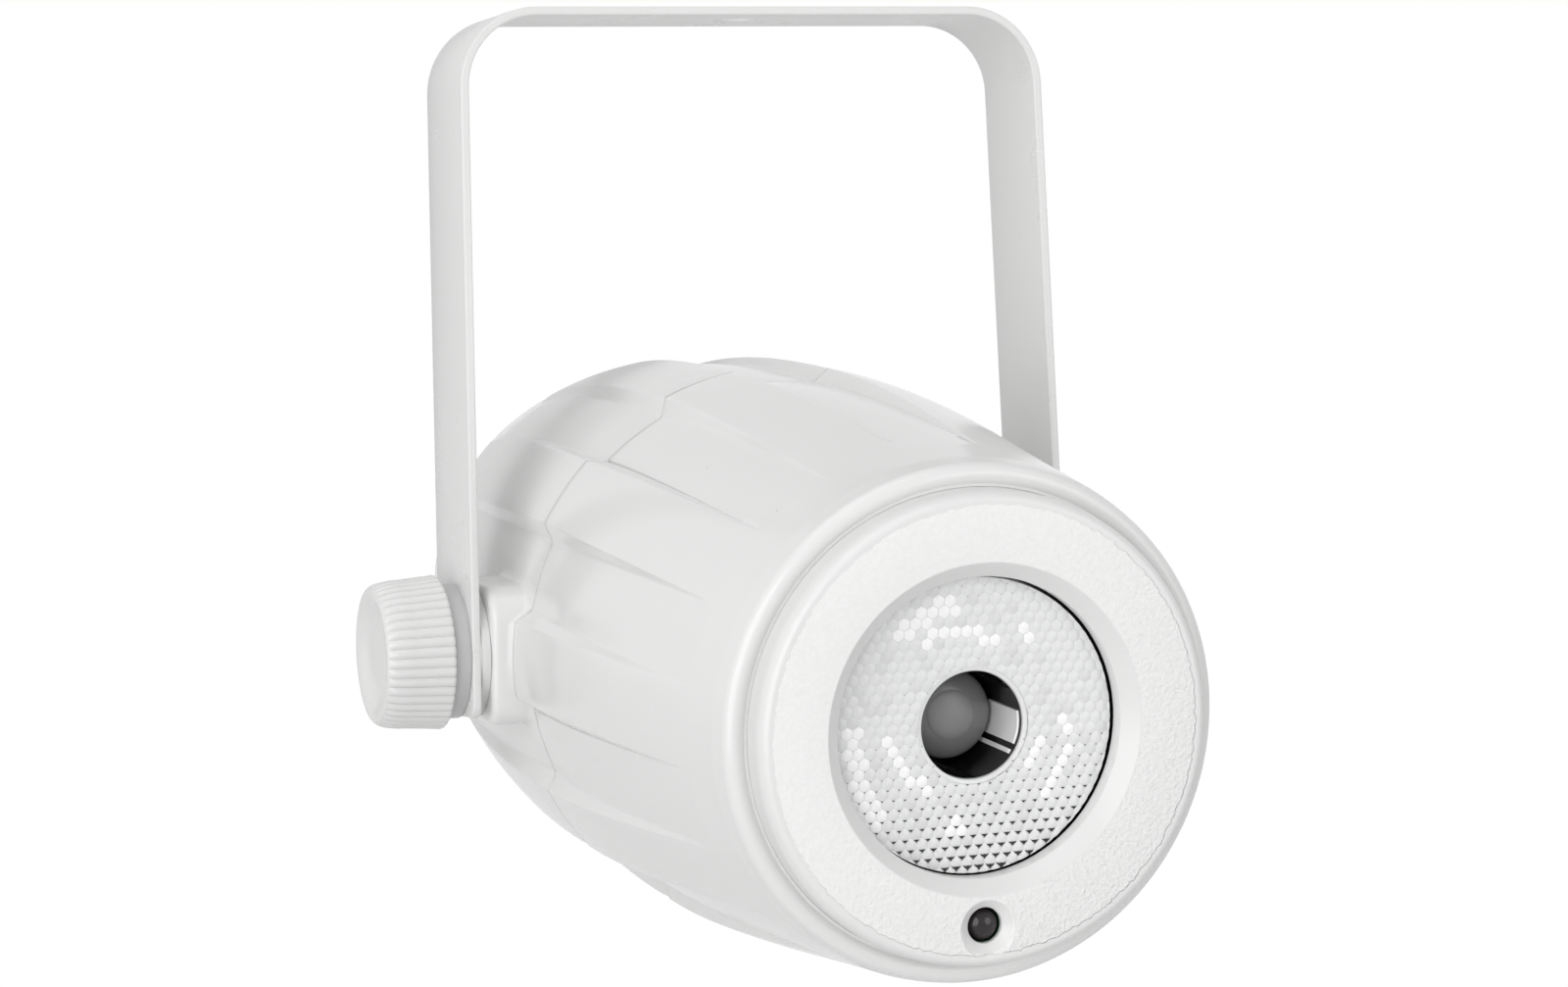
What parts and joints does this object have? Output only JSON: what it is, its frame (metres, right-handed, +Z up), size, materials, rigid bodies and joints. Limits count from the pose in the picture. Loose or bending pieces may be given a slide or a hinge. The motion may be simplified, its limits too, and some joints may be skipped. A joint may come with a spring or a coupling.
{
  "type": "led pinspot light",
  "caption": "Small round LED spotlight in a panelled white housing that tilts in a strap yoke between two ribbed hand knobs, with a honeycomb lens in front and a connector panel behind.",
  "frame": {"origin": "centre of the yoke's mounting hole, on the strap's top face", "axes": "+Z up, -Y the way the beam points, +X along the pivot axis to the light's own left"},
  "size_m": [0.1522, 0.2028, 0.1738],
  "materials": {
    "white_strap": "white powder coat, satin",
    "white_housing": "white moulded plastic, satin gloss",
    "white_face": "white moulded plastic, fine orange-peel texture",
    "white_knob": "white moulded plastic, glossy",
    "smoked_window": "dark smoked plastic, polished",
    "clear_lens": "clear moulded lens with honeycomb facets",
    "clear_dome": "clear dome over the LED",
    "led_package": "LED package with phosphor",
    "circuit_board": "green circuit board",
    "black_plastic": "black moulded plastic, satin",
    "black_panel": "black moulded plastic, fine texture",
    "button_plastic": "black moulded plastic, satin",
    "aluminium": "plain aluminium",
    "brass": "turned brass",
    "zinc_steel": "zinc-plated steel",
    "contact_metal": "nickel-plated contact",
    "grey_rubber": "grey rubber",
    "fuse_glass": "clear glass tube"
  },
  "bodies": {
    "yoke": {"yoke": "white_strap"},
    "head": {"front_shell": "white_housing", "rear_shell": "white_housing", "face_cap": "white_face", "ir_receiver": "smoked_window", "ir_board": "circuit_board", "lens": "clear_lens", "lens_holder": "black_plastic", "led_dome": "clear_dome", "led_emitter": "led_package", "led_board": "circuit_board", "heat_sink": "aluminium", "rear_panel": "black_panel", "control_board": "circuit_board", "board_pillar_1": "brass", "board_pillar_2": "brass", "board_pillar_3": "brass", "driver_board": "circuit_board", "transformer": "black_plastic", "capacitor": "black_plastic", "display_module": "black_plastic", "display_window": "smoked_window", "dmx_in_socket": "black_plastic", "dmx_in_pin_1": "contact_metal", "dmx_in_pin_2": "contact_metal", "dmx_in_pin_3": "contact_metal", "dmx_out_socket": "black_plastic", "mains_inlet": "black_plastic", "mains_pin_live": "contact_metal", "mains_pin_neutral": "contact_metal", "mains_pin_earth": "contact_metal", "fuse_holder": "black_plastic", "fuse": "fuse_glass", "microphone": "aluminium", "left_insert": "brass", "left_spacer": "grey_rubber", "right_insert": "brass", "right_spacer": "grey_rubber"},
    "button_1": {"menu_button_1": "button_plastic"},
    "button_2": {"menu_button_2": "button_plastic"},
    "button_3": {"menu_button_3": "button_plastic"},
    "button_4": {"menu_button_4": "button_plastic"},
    "latch": {"dmx_latch": "button_plastic"},
    "fuse_cap": {"fuse_cap": "black_plastic"},
    "left_washer": {"left_knob_washer": "zinc_steel"},
    "left_knob": {"left_knob_stud": "zinc_steel", "left_knob": "white_knob"},
    "right_washer": {"right_knob_washer": "zinc_steel"},
    "right_knob": {"right_knob_stud": "zinc_steel", "right_knob": "white_knob"}
  },
  "joints": [
    {"name": "head_tilt", "type": "hinge", "parent": "yoke", "child": "head", "pos_m": [0, 0, -0.1194], "axis": [-1, 0, 0], "range_deg": [-235, 65]},
    {"name": "left_knob_travel", "type": "slide", "parent": "head", "child": "left_washer", "axis": [-1, 0, 0], "range_m": [0, 0.005]},
    {"name": "left_knob_turn", "type": "hinge", "parent": "left_washer", "child": "left_knob", "pos_m": [-0.0685, 0, -0.1194], "axis": [-1, 0, 0], "range_deg": [0, 1440]},
    {"name": "right_knob_travel", "type": "slide", "parent": "head", "child": "right_washer", "axis": [1, 0, 0], "range_m": [0, 0.005]},
    {"name": "right_knob_turn", "type": "hinge", "parent": "right_washer", "child": "right_knob", "pos_m": [0.0685, 0, -0.1194], "axis": [1, 0, 0], "range_deg": [0, 1440]},
    {"name": "button_1_press", "type": "slide", "parent": "head", "child": "button_1", "axis": [0, -0.9962, -0.0872], "range_m": [0, 0.0008], "stiffness_N_per_m": 1200, "springref_m": -0.0005},
    {"name": "button_2_press", "type": "slide", "parent": "head", "child": "button_2", "axis": [0, -0.9962, -0.0872], "range_m": [0, 0.0008], "stiffness_N_per_m": 1200, "springref_m": -0.0005},
    {"name": "button_3_press", "type": "slide", "parent": "head", "child": "button_3", "axis": [0, -0.9962, -0.0872], "range_m": [0, 0.0008], "stiffness_N_per_m": 1200, "springref_m": -0.0005},
    {"name": "button_4_press", "type": "slide", "parent": "head", "child": "button_4", "axis": [0, -0.9962, -0.0872], "range_m": [0, 0.0008], "stiffness_N_per_m": 1200, "springref_m": -0.0005},
    {"name": "latch_press", "type": "slide", "parent": "head", "child": "latch", "axis": [0, -0.9962, -0.0872], "range_m": [0, 0.0015], "stiffness_N_per_m": 900, "springref_m": -0.0008},
    {"name": "fuse_cap_turn", "type": "hinge", "parent": "head", "child": "fuse_cap", "pos_m": [0.0235, 0.08023, -0.12995], "axis": [0, 0.9962, 0.0872], "range_deg": [0, 90]}
  ],
  "couplings": [
    {"joint": "left_knob_turn", "follows": "left_knob_travel", "rad_per_m": 5026.5},
    {"joint": "right_knob_turn", "follows": "right_knob_travel", "rad_per_m": 5026.5}
  ]
}
